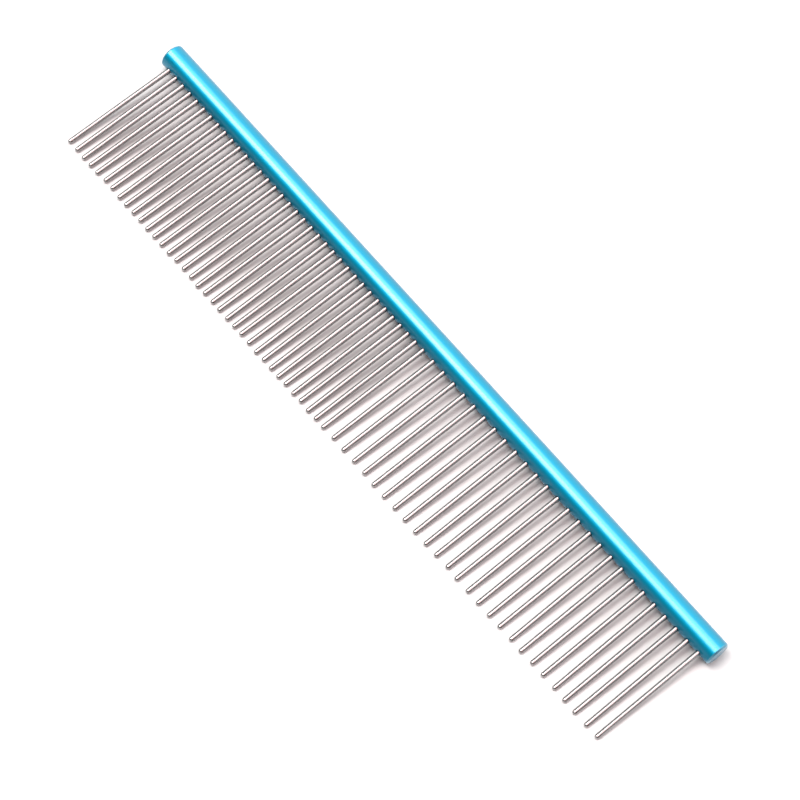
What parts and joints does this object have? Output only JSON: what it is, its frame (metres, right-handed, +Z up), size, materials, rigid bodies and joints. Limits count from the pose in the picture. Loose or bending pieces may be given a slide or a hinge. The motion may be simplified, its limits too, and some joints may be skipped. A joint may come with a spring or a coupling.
{
  "type": "grooming comb",
  "caption": "Two-density grooming comb: a round anodised bar spine with straight tapered steel pins, close together along one half and further apart along the other.",
  "frame": {"origin": "centre of the comb's footprint, on the flat surface that it lies on", "axes": "+X along the spine from the finely pinned end to the coarsely pinned end, -Y from the spine towards the pin tips, +Z up from the surface"},
  "size_m": [0.19, 0.0356, 0.0062],
  "materials": {
    "anodised_aluminium": "satin turquoise anodising, smooth and glossy, with bright broken edges",
    "pin_steel": "ground and polished bright steel"
  },
  "bodies": {
    "root": {"spine": "anodised_aluminium", "fine_pins_01_02": "pin_steel", "fine_pins_03_04": "pin_steel", "fine_pins_05_06": "pin_steel", "fine_pins_07_08": "pin_steel", "fine_pins_09_10": "pin_steel", "fine_pins_11_12": "pin_steel", "fine_pins_13_14": "pin_steel", "fine_pins_15_16": "pin_steel", "fine_pins_17_18": "pin_steel", "fine_pins_19_20": "pin_steel", "fine_pins_21_22": "pin_steel", "fine_pins_23_24": "pin_steel", "fine_pins_25_26": "pin_steel", "fine_pins_27_28": "pin_steel", "fine_pins_29_30": "pin_steel", "fine_pins_31_32": "pin_steel", "fine_pins_33_34": "pin_steel", "fine_pins_35_36": "pin_steel", "coarse_pin_01": "pin_steel", "coarse_pin_02": "pin_steel", "coarse_pin_03": "pin_steel", "coarse_pin_04": "pin_steel", "coarse_pin_05": "pin_steel", "coarse_pin_06": "pin_steel", "coarse_pin_07": "pin_steel", "coarse_pin_08": "pin_steel", "coarse_pin_09": "pin_steel", "coarse_pin_10": "pin_steel", "coarse_pin_11": "pin_steel", "coarse_pin_12": "pin_steel", "coarse_pin_13": "pin_steel", "coarse_pin_14": "pin_steel", "coarse_pin_15": "pin_steel", "coarse_pin_16": "pin_steel", "coarse_pin_17": "pin_steel", "coarse_pin_18": "pin_steel", "coarse_pin_19": "pin_steel", "coarse_pin_20": "pin_steel", "coarse_pin_21": "pin_steel", "coarse_pin_22": "pin_steel", "coarse_pin_23": "pin_steel", "coarse_pin_24": "pin_steel", "coarse_pin_25": "pin_steel", "coarse_pin_26": "pin_steel"}
  },
  "joints": []
}
